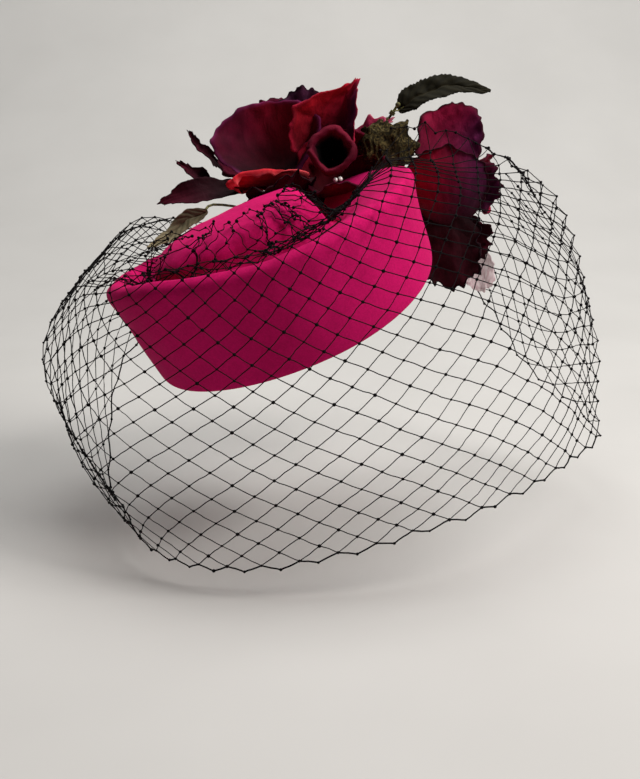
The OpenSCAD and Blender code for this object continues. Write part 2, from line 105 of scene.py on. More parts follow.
def wobble(points, wavelength, seed):
    """Smooth noise from -1 to 1 for each coordinate of each point."""
    rng = np.random.default_rng(seed)
    p = np.asarray(points, float)
    total = np.zeros(p.shape[:-1] + (3,))
    for _ in range(WOBBLE_WAVES):
        k = rng.normal(size=(3, 3)) * 2 * math.pi / wavelength * WOBBLE_SPREAD
        total += np.sin(p @ k + rng.uniform(0, 2 * math.pi, 3)) / 3
    return np.clip(total, -1, 1)


def worn(p):
    """From the crown's own frame to the way it is worn."""
    x, y, z = np.moveaxis(np.asarray(p, float), -1, 0)
    c, s = math.cos(TILT_FORWARD), math.sin(TILT_FORWARD)
    y, z = y * c - z * s, y * s + z * c
    c, s = math.cos(TILT_SIDE), math.sin(TILT_SIDE)
    return np.stack([x * c - z * s, y, x * s + z * c], -1)


# ---- Meshes --------------------------------------------------------------------------


def grid_faces(n, m, wrap=False):
    """Faces of an n by m grid of points; wrap joins its last row to its first."""
    i = np.arange(n if wrap else n - 1)[:, None]
    j = np.arange(m - 1)[None, :]
    a = i * m + j
    b = (i + 1) % n * m + j
    return np.stack([a, b, b + 1, a + 1], -1).reshape(-1, 4).tolist()


def make_mesh(name, points, faces, material):
    """A smooth-shaded object from points in millimetres."""
    mesh = bpy.data.meshes.new(name)
    mesh.from_pydata((np.reshape(points, (-1, 3)) * MM).tolist(), [], faces)
    mesh.validate()
    mesh.shade_smooth()
    mesh.materials.append(material)
    piece = bpy.data.objects.new(name, mesh)
    bpy.context.scene.collection.objects.link(piece)
    return piece


def apply_modifiers(piece):
    graph = bpy.context.evaluated_depsgraph_get()
    mesh = bpy.data.meshes.new_from_object(piece.evaluated_get(graph))
    piece.modifiers.clear()
    piece.data = mesh


def thicken(piece, thickness):
    """Gives a sheet its thickness, in millimetres, on the side away from its normals."""
    shell = piece.modifiers.new("shell", "SOLIDIFY")
    shell.thickness = thickness * MM
    shell.offset = -1
    apply_modifiers(piece)


def colour_attribute(piece, colours):
    layer = piece.data.color_attributes.new("tint", "FLOAT_COLOR", "POINT")
    values = np.ones((len(colours), 4), np.float32)
    values[:, :3] = colours
    layer.data.foreach_set("color", values.ravel())


def tubes(paths, radii, sides):
    """Points and faces of open tubes along many paths of the same number of points."""
    p = np.asarray(paths, float)
    count, steps = p.shape[:2]
    along = unit(np.gradient(p, axis=1))
    ref = np.where(np.abs(along[..., 2:3]) > 0.9, [1.0, 0, 0], [0, 0, 1.0])
    side = unit(np.cross(along, ref))
    up = np.cross(side, along)
    radii = np.broadcast_to(np.reshape(radii, (-1, 1)), (count, steps))
    turn = np.arange(sides) * 2 * math.pi / sides
    ring = (
        p[:, :, None]
        + radii[:, :, None, None]
        * (side[:, :, None] * np.cos(turn)[:, None] + up[:, :, None] * np.sin(turn)[:, None])
    )
    k = np.arange(count)[:, None, None] * steps * sides
    s = np.arange(steps - 1)[None, :, None] * sides
    i = np.arange(sides)[None, None, :]
    h = (i + 1) % sides
    faces = np.stack([k + s + i, k + s + h, k + s + sides + h, k + s + sides + i], -1)
    return ring.reshape(-1, 3), faces.reshape(-1, 4).tolist()


# ---- Materials -----------------------------------------------------------------------

WAVE_TURN = 20  # radians that a wave texture of scale 1 turns in one metre


def new_material(name, roughness, **sockets):
    """A material with a Principled shader; sockets are set on the shader itself."""
    mat = bpy.data.materials.new(name)
    mat.use_nodes = True
    shader = mat.node_tree.nodes["Principled BSDF"]
    shader.inputs["Roughness"].default_value = roughness
    for key, value in sockets.items():
        shader.inputs[key.replace("_", " ")].default_value = value
    return mat, mat.node_tree, shader


def add(tree, kind, inputs=(), **settings):
    node = tree.nodes.new(kind)
    for key, value in settings.items():
        setattr(node, key, value)
    for key, value in dict(inputs).items():
        if isinstance(value, bpy.types.NodeSocket):
            tree.links.new(value, node.inputs[key])
        else:
            node.inputs[key].default_value = value
    return node


def coordinates(tree, stretch=(1, 1, 1)):
    source = add(tree, "ShaderNodeTexCoord")
    placed = add(tree, "ShaderNodeMapping", {"Vector": source.outputs["Object"], "Scale": stretch})
    return placed.outputs[0]


def noise_value(tree, vector, size, detail=4, distortion=0):
    """Noise whose features are about size millimetres across."""
    return add(
        tree,
        "ShaderNodeTexNoise",
        {"Vector": vector, "Scale": 1000 / size / 2, "Detail": detail, "Distortion": distortion},
    ).outputs["Fac"]


def ramp(tree, value, stops):
    node = add(tree, "ShaderNodeValToRGB", {"Fac": value})
    elements = node.color_ramp.elements
    while len(elements) < len(stops):
        elements.new(0.5)
    for element, (place, colour) in zip(elements, stops):
        element.position = place
        element.color = (*colour, 1)
    return node.outputs["Color"]


def colour_shader(tree, shader, colour, *others):
    """Multiplies colours together and gives the product to the shader."""
    for other in others:
        inputs = {0: 1.0, 6: colour, 7: other}
        colour = add(tree, "ShaderNodeMix", inputs, data_type="RGBA", blend_type="MULTIPLY").outputs[2]
    tree.links.new(colour, shader.inputs["Base Color"])


def math_node(tree, operation, a, b=0.0):
    return add(tree, "ShaderNodeMath", {0: a, 1: b}, operation=operation).outputs[0]


def bumps(tree, shader, layers):
    """Stacks bump layers (height, strength, depth in millimetres) onto the shader's normal."""
    normal = None
    for height, strength, depth in layers:
        inputs = {"Height": height, "Strength": strength, "Distance": depth * MM}
        if normal is not None:
            inputs["Normal"] = normal
        normal = add(tree, "ShaderNodeBump", inputs).outputs[0]
    tree.links.new(normal, shader.inputs["Normal"])


def rgb(hexa):
    """Linear colour from an sRGB code."""
    parts = [int(hexa[i : i + 2], 16) / 255 for i in (1, 3, 5)]
    return tuple(c / 12.92 if c <= 0.04045 else ((c + 0.055) / 1.055) ** 2.4 for c in parts)


def rgba(hexa):
    return (*rgb(hexa), 1)


def felt_material():
    mat, tree, shader = new_material(
        "felt", 0.88, Sheen_Weight=0.14, Sheen_Roughness=0.5, Sheen_Tint=rgba("#ff3d92"),
        Specular_IOR_Level=0.1,
    )
    at = coordinates(tree)
    patches = ramp(tree, noise_value(tree, at, 22, 3), [(0.3, rgb("#b80855")), (0.7, rgb("#c80c60"))])
    fibres = noise_value(tree, at, 0.55, 6, 1.2)
    speckle = ramp(tree, fibres, [(0.35, (0.88, 0.85, 0.87)), (0.65, (1.08, 1.06, 1.08))])
    colour_shader(tree, shader, patches, speckle)
    pile = noise_value(tree, at, 0.25, 3, 2.0)
    lumps = noise_value(tree, at, 2.4, 3)
    bumps(tree, shader, [(lumps, 0.35, 0.25), (fibres, 0.5, 0.10), (pile, 0.4, 0.05)])
    return mat


def velvet_material(name, sheen):
    """Velvet whose colour comes from the piece's tint, which holds its colour together with painted shade
    and painted highlights.
    """
    mat, tree, shader = new_material(
        name, 0.78, Sheen_Weight=0.1, Sheen_Roughness=0.35, Sheen_Tint=rgba(sheen),
        Specular_IOR_Level=0.08,
    )
    at = coordinates(tree)
    tint = add(tree, "ShaderNodeAttribute", attribute_name="tint").outputs["Color"]
    clouds = noise_value(tree, at, 6, 5, 0.6)
    cloud = ramp(tree, clouds, [(0.3, (0.62, 0.6, 0.68)), (0.72, (1.25, 1.2, 1.15))])
    nap = noise_value(tree, at, 0.3, 3, 1.5)
    flecks = ramp(tree, nap, [(0.3, (0.8, 0.8, 0.82)), (0.7, (1.12, 1.1, 1.1))])
    colour_shader(tree, shader, tint, cloud, flecks)
    creases = noise_value(tree, coordinates(tree, (1, 1, 0.45)), 3.2, 4, 1.0)
    crumples = noise_value(tree, coordinates(tree, (1, 0.6, 0.4)), 1.2, 4, 1.6)
    bumps(tree, shader, [(creases, 0.8, 0.8), (crumples, 0.6, 0.3), (nap, 0.5, 0.07)])
    return mat


def thread_material(name, colour):
    mat, tree, shader = new_material(name, 0.75, Specular_IOR_Level=0.1)
    at = coordinates(tree)
    twist = noise_value(tree, at, 0.18, 2, 3.0)
    dark = tuple(0.55 * c for c in rgb(colour))
    colour_shader(tree, shader, ramp(tree, twist, [(0.3, dark), (0.75, rgb(colour))]))
    bumps(tree, shader, [(twist, 0.5, 0.04)])
    return mat


def woven_material(name, dark, light, pitch, sheen=0.3, ribs=(1, 1)):
    """A plain weave: two sets of ridges, each pitch millimetres wide, in the crown's own frame."""
    mat, tree, shader = new_material(
        name, 0.7, Sheen_Weight=sheen, Sheen_Tint=rgba(light), Specular_IOR_Level=0.3
    )
    at = add(tree, "ShaderNodeTexCoord").outputs["Object"]
    for turn in ((0, TILT_SIDE, 0), (-TILT_FORWARD, 0, 0)):
        at = add(tree, "ShaderNodeMapping", {"Vector": at, "Rotation": turn}).outputs[0]
    waves = [
        add(
            tree,
            "ShaderNodeTexWave",
            {"Vector": at, "Scale": math.pi / (WAVE_TURN * pitch * MM), "Distortion": 0.6, "Detail": 1},
            bands_direction=direction,
        ).outputs["Fac"]
        for direction in ("X", "Y")
    ]
    weft, warp = (math_node(tree, "MULTIPLY", wave, rib) for wave, rib in zip(waves, ribs))
    cloth = math_node(tree, "ADD", weft, warp)
    fuzz = noise_value(tree, at, 0.4, 4, 1.0)
    shade = ramp(tree, cloth, [(0.2, rgb(dark)), (0.9, rgb(light))])
    spots = ramp(tree, fuzz, [(0.3, (0.85, 0.85, 0.85)), (0.7, (1.08, 1.08, 1.08))])
    colour_shader(tree, shader, shade, spots)
    bumps(tree, shader, [(cloth, 0.6, 0.12), (fuzz, 0.3, 0.05)])
    return mat


def leaf_material(name, sheen):
    mat, tree, shader = new_material(
        name, 0.8, Sheen_Weight=0.08, Sheen_Roughness=0.4, Sheen_Tint=rgba(sheen),
        Specular_IOR_Level=0.1,
    )
    at = coordinates(tree)
    tint = add(tree, "ShaderNodeAttribute", attribute_name="tint").outputs["Color"]
    blotch = ramp(tree, noise_value(tree, at, 4, 5), [(0.3, (0.7, 0.72, 0.66)), (0.7, (1.2, 1.18, 1.1))])
    nap = noise_value(tree, at, 0.35, 4, 1.2)
    flecks = ramp(tree, nap, [(0.3, (0.78, 0.8, 0.76)), (0.7, (1.15, 1.13, 1.1))])
    colour_shader(tree, shader, tint, blotch, flecks)
    pucker = noise_value(tree, at, 2.2, 3, 0.8)
    bumps(tree, shader, [(pucker, 0.5, 0.4), (nap, 0.5, 0.08)])
    return mat


def moss_material():
    mat, tree, shader = new_material(
        "leaf_moss", 0.9, Sheen_Weight=0.08, Sheen_Tint=rgba("#8a845e"), Specular_IOR_Level=0.1
    )
    at = coordinates(tree)
    tufts = noise_value(tree, at, 0.9, 6, 1.6)
    clumps = noise_value(tree, at, 5, 3)
    tips = ramp(tree, tufts, [(0.3, rgb("#0c0a06")), (0.5, rgb("#29230f")), (0.72, rgb("#655a38"))])
    shade = ramp(tree, clumps, [(0.3, (0.55, 0.5, 0.5)), (0.7, (1.2, 1.15, 1.0))])
    colour_shader(tree, shader, tips, shade)
    bumps(tree, shader, [(clumps, 0.6, 1.0), (tufts, 0.9, 0.6)])
    return mat


def tape_material():
    mat, tree, shader = new_material("tape", 0.7, Specular_IOR_Level=0.3)
    at = coordinates(tree)
    wrap = add(
        tree,
        "ShaderNodeTexWave",
        {"Vector": at, "Scale": 95.0, "Distortion": 1.5, "Detail": 2},
        bands_direction="DIAGONAL",
        wave_profile="SAW",
    ).outputs["Fac"]
    crepe = noise_value(tree, at, 0.5, 4)
    shade = ramp(tree, wrap, [(0.1, rgb("#3f3a20")), (0.5, rgb("#6c6738")), (0.9, rgb("#7d7846"))])
    flecks = ramp(tree, crepe, [(0.3, (0.8, 0.8, 0.78)), (0.7, (1.1, 1.1, 1.05))])
    colour_shader(tree, shader, shade, flecks)
    bumps(tree, shader, [(wrap, 0.6, 0.2), (crepe, 0.4, 0.08)])
    return mat


def comb_material():
    mat, tree, shader = new_material(
        "comb", 0.22, Coat_Weight=0.5, Coat_Roughness=0.12, Specular_IOR_Level=0.5
    )
    at = coordinates(tree)
    shell = ramp(
        tree,
        noise_value(tree, at, 7, 3, 1.4),
        [(0.35, rgb("#120b07")), (0.55, rgb("#2c170b")), (0.75, rgb("#6b3a14"))],
    )
    colour_shader(tree, shader, shell)
    waves, scratches = noise_value(tree, at, 1.5, 3), noise_value(tree, at, 0.3, 2)
    bumps(tree, shader, [(waves, 0.12, 0.1), (scratches, 0.1, 0.02)])
    return mat


def pearl_material():
    mat, tree, shader = new_material(
        "pearl", 0.18, Coat_Weight=0.7, Coat_Roughness=0.08, Specular_IOR_Level=0.6
    )
    at = coordinates(tree)
    lustre = ramp(tree, noise_value(tree, at, 1.2, 3), [(0.3, rgb("#e4dcd6")), (0.7, rgb("#fbf7f2"))])
    colour_shader(tree, shader, lustre)
    bumps(tree, shader, [(noise_value(tree, at, 0.4, 2), 0.1, 0.02)])
    return mat


def organza_material():
    mat, tree, shader = new_material(
        "organza", 0.5, Alpha=0.6, Sheen_Weight=0.6, Sheen_Tint=rgba("#fff0f2"), Specular_IOR_Level=0.5
    )
    at = coordinates(tree)
    threads = noise_value(tree, coordinates(tree, (1, 1, 0.2)), 0.5, 3, 0.5)
    colour_shader(tree, shader, ramp(tree, threads, [(0.3, rgb("#c99ba3")), (0.7, rgb("#f1dfe0"))]))
    bumps(tree, shader, [(threads, 0.4, 0.1), (noise_value(tree, at, 3, 3), 0.4, 0.5)])
    return mat


FELT = felt_material()
VELVET_DARK = velvet_material("velvet_dark", "#b03468")
VELVET_BRIGHT = velvet_material("velvet_bright", "#b8345c")
VELVET_WINE = velvet_material("velvet_wine", "#803050")
LEAF_DARK = leaf_material("leaf_dark", "#6c6a50")
LEAF_MOSS = moss_material()
NET = thread_material("net", "#030203")
THREAD_BLACK = thread_material("thread_black", "#040304")
THREAD_PINK = thread_material("thread_pink", "#c01e62")
RIBBON = woven_material("ribbon", "#4a0c28", "#8a1c4c", 0.9, ribs=(1, 0.1))
LINING = woven_material("lining", "#7c1742", "#a62a5f", 0.35, sheen=0.5)
BUCKRAM = woven_material("buckram", "#b3a78c", "#e2d8c0", 1.4)
TAPE = tape_material()
COMB = comb_material()
PEARL = pearl_material()
ORGANZA = organza_material()

# ---- The crown -----------------------------------------------------------------------

# The crown's values and formulas, down to the ridge, dome and groove, are those of the frame's part.
BASE_HALF = (65, 55)
OUTLINE_POWER = 2.2
CORNER_SHARE = 0.035
CORNER_AT = -75
RIDGE_HEIGHT = 43
RIDGE_RISE = 15
HIGH_AT = -98
FRONT_DIP = 10
DIP_AT = -82
DIP_SPREAD = 80
WALL_FLARE = 3
RIDGE_WIDTH = 13
LOBE_WIDTH = 36
LOBE_AT = 10
LOBE_SPREAD = 80
LOBE_DROP = 3.5
GROOVE_DEPTH = 11
DOME_AT = (-9, 1)
DOME_HALF = (49, 34)
DOME_HEIGHT = 50
DOME_LEAN = 0.14
FELT_T = 1.1
LINING_T = 0.4
LINING_GAP = 2.5     # between the felt and the lining over the dome
LINING_INSET = 5.1   # of the lining's foot, from the base outline
LINING_FOOT = 9.6
RIBBON_WIDTH = 10
RIBBON_T = 0.7
RIBBON_INSET = 3.75


def cosd(a):
    return np.cos(np.radians(a))


def sind(a):
    return np.sin(np.radians(a))


def polar(a, r, z):
    return np.stack([r * cosd(a), r * sind(a), z + 0 * a], -1)


def outline(a):
    along, across = np.abs(cosd(a) / BASE_HALF[0]), np.abs(sind(a) / BASE_HALF[1])
    reach = along**OUTLINE_POWER + across**OUTLINE_POWER
    return reach ** (-1 / OUTLINE_POWER) * (1 + CORNER_SHARE * cosd(3 * (a - CORNER_AT)))


def dome_edge(a):
    c, s = cosd(a) / DOME_HALF[0], sind(a) / DOME_HALF[1]
    x, y = DOME_AT[0] / DOME_HALF[0], DOME_AT[1] / DOME_HALF[1]
    qa, qb, qc = c * c + s * s, -2 * (c * x + s * y), x * x + y * y - 1
    return (-qb + np.sqrt(qb * qb - 4 * qa * qc)) / (2 * qa)


def swell(a, middle, spread):
    """1 in the direction middle, dying away within spread."""
    d = np.abs((a - middle + 540) % 360 - 180)
    return np.where(d < spread, cosd(90 * np.minimum(d, spread) / spread) ** 2, 0)


def lobe_share(a):
    return swell(a, LOBE_AT, LOBE_SPREAD)


def ridge_top(a):
    rise = RIDGE_RISE * cosd(a - HIGH_AT) - FRONT_DIP * swell(a, DIP_AT, DIP_SPREAD)
    return RIDGE_HEIGHT + rise - LOBE_DROP * lobe_share(a)


def ridge_reach(a):
    return outline(a) + WALL_FLARE * (1 + 0.4 * lobe_share(a))


def ridge_span(a):
    return RIDGE_WIDTH + (LOBE_WIDTH - RIDGE_WIDTH) * lobe_share(a)


def dome_foot(a):
    return np.minimum(dome_edge(a), ridge_reach(a) - ridge_span(a) - 5)


def groove_floor(a):
    return ridge_top(a) - GROOVE_DEPTH + 3 * lobe_share(a)


def crown_profile(a):
    """Control points [radius, height] of the felt in direction a, from hem to dome."""
    r, h, reach, span = outline(a), ridge_top(a), ridge_reach(a), ridge_span(a)
    d, z = dome_foot(a), groove_floor(a)
    lean = DOME_LEAN * d * cosd(a - HIGH_AT)
    crest = DOME_HEIGHT - 1.5 + 0.72 * lean
    flat = 0 * r
    hem = [(r - 3.4, flat + 5), (r - 3.3, flat + 1.2), (r - 1.4, flat + 0.25), (r + 0.5, flat + 1.6)]
    wall = [(r + 0.5 * (reach - r), h * 0.35), (r + 0.85 * (reach - r), h * 0.7), (reach + 0.5, h * 0.93)]
    ridge = [(reach - 3, h), (reach - span * 0.55, h - 1.5)]
    groove = [(d + 4.5, z + 2), (d + 1, z)]
    dome = [
        (d - 2, z + 0.15 * (crest - z)), (d - 5, z + 0.7 * (crest - z)), (d * 0.72, crest),
        (d * 0.36, DOME_HEIGHT + 1 + 0.36 * lean), (flat, flat + DOME_HEIGHT + 1.6),
    ]
    return np.array([np.stack(row, -1) for row in hem + wall + ridge + groove + dome])


def revolve(a, profile):
    """Points from directions a (n) and profiles (m, n, 2), as an n by m grid."""
    r, z = profile[..., 0].T, profile[..., 1].T
    return np.stack([r * cosd(a)[:, None], r * sind(a)[:, None], z], -1)


def crown_surface(count, steps):
    a = np.arange(count) * 360 / count
    return revolve(a, spline(crown_profile(a), steps))


def make_crown():
    count = 240
    grid = crown_surface(count, steps=9)
    out = unit(np.cross(np.roll(grid, -1, 0) - np.roll(grid, 1, 0), np.gradient(grid, axis=1)))
    firm = smooth((grid[..., 2:3] - 4) / 12)
    grid += out * (0.35 * wobble(grid, 40, 3)[..., :1] + 0.1 * wobble(grid, 13, 4)[..., :1]) * firm
    crown = make_mesh("felt_crown", worn(grid), grid_faces(count, grid.shape[1], wrap=True), FELT)
    thicken(crown, FELT_T)
    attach(crown, "crown")
    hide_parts("crown_cover")


def inset(profile, d):
    """A profile moved inward; its outer side is on the right of its travel."""
    t = unit(np.gradient(profile, axis=0))
    return profile - d * np.stack([t[..., 1], -t[..., 0]], -1)


def make_lining():
    """The lining follows the felt inside the dome, and falls straight from there to its foot."""
    count, steps, straight = 220, 6, 17
    groove_row = 10
    a = np.arange(count) * 360 / count
    whole = spline(crown_profile(a), steps)
    hung = inset(whole[groove_row * steps :], FELT_T + LINING_GAP)
    hung[-1, :, 0] = 0
    start = np.stack([outline(a) - LINING_INSET, 0 * a + LINING_FOOT], -1)
    rise = np.array([start + (hung[0] - start) * t for t in np.linspace(0, 1, straight + 1)[:-1]])
    grid = revolve(a, np.concatenate([rise, hung]))
    rows = np.arange(grid.shape[1])[None, :]
    folds = np.sin(np.radians(a) * 44 + 2 * np.sin(np.radians(a) * 5))[:, None]
    depth = 0.5 * np.sin(np.clip(rows / straight, 0, 1) * math.pi) * folds
    grid[..., :2] *= (1 - (0.4 + depth[..., None]) / 60)
    lining = make_mesh("lining_cloth", worn(grid), grid_faces(count, grid.shape[1], wrap=True), LINING)
    thicken(lining, LINING_T)
    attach(lining, "crown")
    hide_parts("crown_lining")


def make_ribbon():
    count = 260
    a = np.arange(count) * 360 / count
    rows = np.linspace(0, RIBBON_WIDTH, 10)
    ripple = 0.12 * np.sin(np.radians(a) * 23)
    reach = outline(a) - RIBBON_INSET
    grid = np.stack([polar(a, reach + ripple * z / RIBBON_WIDTH, z) for z in rows], 1)
    ribbon = make_mesh("grosgrain_ribbon", worn(grid), grid_faces(count, len(rows), wrap=True), RIBBON)
    thicken(ribbon, RIBBON_T)
    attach(ribbon, "crown")
    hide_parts("head_ribbon")


make_crown()
make_lining()
make_ribbon()

# ---- The net -------------------------------------------------------------------------

# Each row: the direction round the crown (or the two points that hold the gathered edge),
# then the upper belly, the lower belly and the free edge.
VEIL = [
    (118, (-40, 60, 29), (-46, 68, 14), (-36, 66, 4)),
    (140, (-76, 50, 33), (-96, 58, -4), (-88, 62, -42)),
    (162, (-90, 20, 19), (-117, 18, -23), (-90, 20, -90)),
    (190, (-94, -14, 10), (-104, -16, -38), (-76, -20, -88)),
    (225, (-72, -52, -6), (-80, -60, -50), (-55, -62, -90)),
    (262, (-22, -82, -10), (-24, -84, -52), (-20, -80, -90)),
    (300, (38, -72, 6), (48, -78, -38), (46, -76, -78)),
    (332, (78, -40, 30), (98, -44, -18), (98, -48, -68)),
    (374, (106, 10, 50), (131, 12, 0), (141, 12, -68)),
    (((31, 16, 63), (45, 19, 73)), (106, 20, 54), (133, 24, 1), (141, 28, -67)),
    (((70, 14, 71), (82, 17, 68)), (110, 30, 44), (136, 40, 2), (137, 50, -62)),
    (((96, 50, 64), (101, 52, 57)), (114, 56, 38), (130, 68, 2), (121, 84, -52)),
    (((86, 100, 62), (90, 104, 54)), (94, 106, 40), (96, 107, 18), (88, 104, -10)),
    (((32, 76, 42), (33, 78, 38)), (34, 80, 32), (34, 80, 26), (32, 78, 18)),
]
FRONT_TO = 8         # the last row that is held on the crown
NET_CLEAR = 3.1
SURFACE_STEPS = 40   # grid lines between two rows round the head
SURFACE_RISE = 30    # and between two rings, up from the free edge
BELLY = 25           # the grid line whose length sets the number of columns
TALLEST = 300
FRILL = 32           # height of the loose net beyond its gathering
SHOWN = (2, 3, 7, 8) # rows between which the frill grows, and dies away
CELL = 16.2
HALF_ROW = 5.0
THREAD_R = 0.21
THREAD_SIDES = 4
THREAD_STEPS = 5
HEM_THICKER = 1.7
# Where the gathered net is drawn together: direction, radius and height on the crown, spread.
BUNCHES = [
    (303, 31, 45, 9), (306, 27, 50, 7), (278, 31, 42, 8), (238, 38, 34, 9), (208, 50, 36, 9),
    (284, 61, 28, 8), (283, 62, 20, 7), (325, 40, 44, 8),
]
BUNCHED = 0.5        # share of its distance that a knot is drawn in by a bunch
KNOT_R = 0.66
HEM_RISE = 2.4
PLEATS = 13
PLEAT = 0.018        # how far a pleat shifts the net sideways, as a share of its length


def held_on_crown(a):
    """The net's rings over the crown: ridge edge, ridge, groove and the loose frill (two)."""
    a = np.asarray(a, float)
    reach, top = ridge_reach(a), ridge_top(a) + NET_CLEAR
    foot, floor = dome_foot(a), groove_floor(a)
    return np.stack(
        [
            worn(polar(a, reach + 0.8, top)),
            worn(polar(a, reach - ridge_span(a) * 0.5, top)),
            worn(polar(a, foot + 3, floor + NET_CLEAR)),
            worn(polar(a, foot - 7, np.maximum(DOME_HEIGHT + 2, floor + 10))),
            worn(polar(a, foot * 0.5, np.maximum(DOME_HEIGHT + 4, floor + 12))),
        ]
    )


def veil_section(section):
    """A row's points from the free edge to the end of the frill."""
    place, upper, lower, free = section
    if isinstance(place, tuple):
        inner, outer = (np.array(p, float) for p in place)
        held = [outer + (outer - inner) * 0.6, outer, inner, inner + (-2, 9, -9), inner + (-3, 10, -18)]
    else:
        held = list(held_on_crown(place))
    return [np.array(p, float) for p in (free, lower, upper)] + held


def veil_surface(steps, rise):
    """The net's surface as a grid: round the head, and up from the free edge."""
    keys = [veil_section(s) for s in VEIL]
    rings = [spline([k[j] for k in keys], steps) for j in range(8)]
    directions = spline([s[0] for s in VEIL[: FRONT_TO + 1]], steps)
    exact = held_on_crown(directions)
    for j in range(5):
        rings[3 + j][: len(directions)] = exact[j]
    return np.stack(spline(rings, rise), 1)


def arc(points, axis):
    """Distance travelled along an axis of a grid of points."""
    step = np.linalg.norm(np.diff(points, axis=axis), axis=-1)
    zero = np.zeros_like(np.take(step, [0], axis=axis))
    return np.cumsum(np.concatenate([zero, step], axis=axis), axis=axis)


class NetSurface:
    """Finds points on the net from a column share and a distance above the free edge."""

    def __init__(self):
        self.grid = veil_surface(SURFACE_STEPS, SURFACE_RISE)
        self.heights = arc(self.grid, 1)
        belly = arc(self.grid[:, BELLY], 0)
        self.share = belly / belly[-1]
        self.length = belly[-1]
        u = np.gradient(self.grid, axis=0)
        v = np.gradient(self.grid, axis=1)
        self.normals = unit(np.cross(u, v))

    def at(self, share, height):
        """Point, outward normal and the net's whole height there."""
        x = np.interp(share, self.share, np.arange(len(self.share)))
        i = np.clip(x.astype(int), 0, len(self.share) - 2)
        f = x - i
        points, normals, totals = [], [], []
        for side in (0, 1):
            rows = self.heights[i + side]
            totals.append(rows[:, -1])
            y = np.array([np.interp(h, row, np.arange(len(row))) for h, row in zip(height, rows)])
            j = np.clip(y.astype(int), 0, rows.shape[1] - 2)
            g = (y - j)[:, None]
            low, high = self.grid[i + side, j], self.grid[i + side, j + 1]
            points.append(low * (1 - g) + high * g)
            normals.append(self.normals[i + side, j])
        f = f[:, None]
        point = points[0] * (1 - f) + points[1] * f
        normal = unit(normals[0] * (1 - f) + normals[1] * f)
        total = totals[0] * (1 - f[:, 0]) + totals[1] * f[:, 0]
        return point, normal, total


def blob(centres, radius):
    """Small round knots: octahedra with their edges split once."""
    top = np.array([[1, 0, 0], [-1, 0, 0], [0, 1, 0], [0, -1, 0], [0, 0, 1], [0, 0, -1]], float)
    corners = [(0, 2, 4), (2, 1, 4), (1, 3, 4), (3, 0, 4), (2, 0, 5), (1, 2, 5), (3, 1, 5), (0, 3, 5)]
    points, faces, middle = list(top), [], {}
    for tri in corners:
        ids = []
        for a, b in ((0, 1), (1, 2), (2, 0)):
            key = tuple(sorted((tri[a], tri[b])))
            if key not in middle:
                middle[key] = len(points)
                points.append(unit(top[key[0]] + top[key[1]]))
            ids.append(middle[key])
        faces += [(tri[0], ids[0], ids[2]), (tri[1], ids[1], ids[0]), (tri[2], ids[2], ids[1]), tuple(ids)]
    ball = np.array(points)
    all_points = centres[:, None] + ball[None] * np.reshape(radius, (-1, 1, 1))
    starts = np.arange(len(centres))[:, None, None] * len(ball)
    return all_points.reshape(-1, 3), (starts + np.array(faces)[None]).reshape(-1, 3).tolist()


def net_places(columns):
    """Each knot's row, column, share along the net and height above the free edge."""
    return [
        (k, c, (c + 0.5 * (k % 2)) / columns, k * HALF_ROW)
        for k in range(int(TALLEST / HALF_ROW))
        for c in range(columns + 1 - k % 2)
    ]


def place_knots(surface, share, height):
    """The knots' points, how loose each lies (0 to 1), and the net's whole height there."""
    total = surface.at(share, height)[2]
    pleats = np.sin(2 * math.pi * (PLEATS * share + 0.4 * np.sin(2 * math.pi * 4 * share)))
    folded = smooth(1 - (total - height - FRILL) / 14)
    point, normal, total = surface.at(np.clip(share + PLEAT * pleats * folded, 0, 1), height)
    left = (total - height)[:, None]
    gather = smooth(1 - (left - FRILL) / 24)
    loose = smooth(1 - (left - 2) / FRILL)
    drift = wobble(point, 46, 11)
    crumple = wobble(point, 10, 12)
    curls = wobble(point, 17, 15)
    point = point + normal * (0.6 * drift[:, :1]) * (1 - gather) + drift * (0.5 - 0.4 * gather)
    point = point + crumple * (gather * 0.7 + loose * 0.6)
    point = point + normal * (gather * np.abs(crumple[:, :1]) + loose * 3.0 * np.abs(curls[:, :1]))
    for direction, radius, level, spread in BUNCHES:
        centre = worn(polar(np.float64(direction), radius, level))
        away = point - centre
        near = np.exp(-np.sum(away**2, 1, keepdims=True) / spread**2)
        point = centre + away * (1 - BUNCHED * near)
    return point, loose, total


def has_net(surface, share, height, total):
    """True for the knots that exist: the frill stands only between the SHOWN rows."""
    start, grown, fading, gone = (surface.share[::SURFACE_STEPS][row] for row in SHOWN)
    shown = smooth((share - start) / (grown - start))
    shown = shown * (1 - smooth((share - fading) / (gone - fading)))
    return height <= total - FRILL * (1 - shown)


def net_edges(index):
    """Pairs of knots that a thread joins, and how thick each thread is; the hem's is thicker."""
    edges, thick = [], []
    for (k, c), n in index.items():
        for other in ((k + 1, c), (k + 1, c + 1 if k % 2 else c - 1)):
            if other in index:
                edges.append((n, index[other]))
                thick.append(1.0 if k else HEM_THICKER)
    return np.array(edges), np.array(thick)


def net_threads(ends, loose):
    """Paths of the threads from knot to knot, curling more where the net is loose."""
    along = np.linspace(0, 1, THREAD_STEPS)[None, :, None]
    paths = ends[:, :1] + (ends[:, 1:] - ends[:, :1]) * along
    return paths + wobble(paths, 9, 13) * (0.22 + 1.5 * loose) * np.sin(math.pi * along)


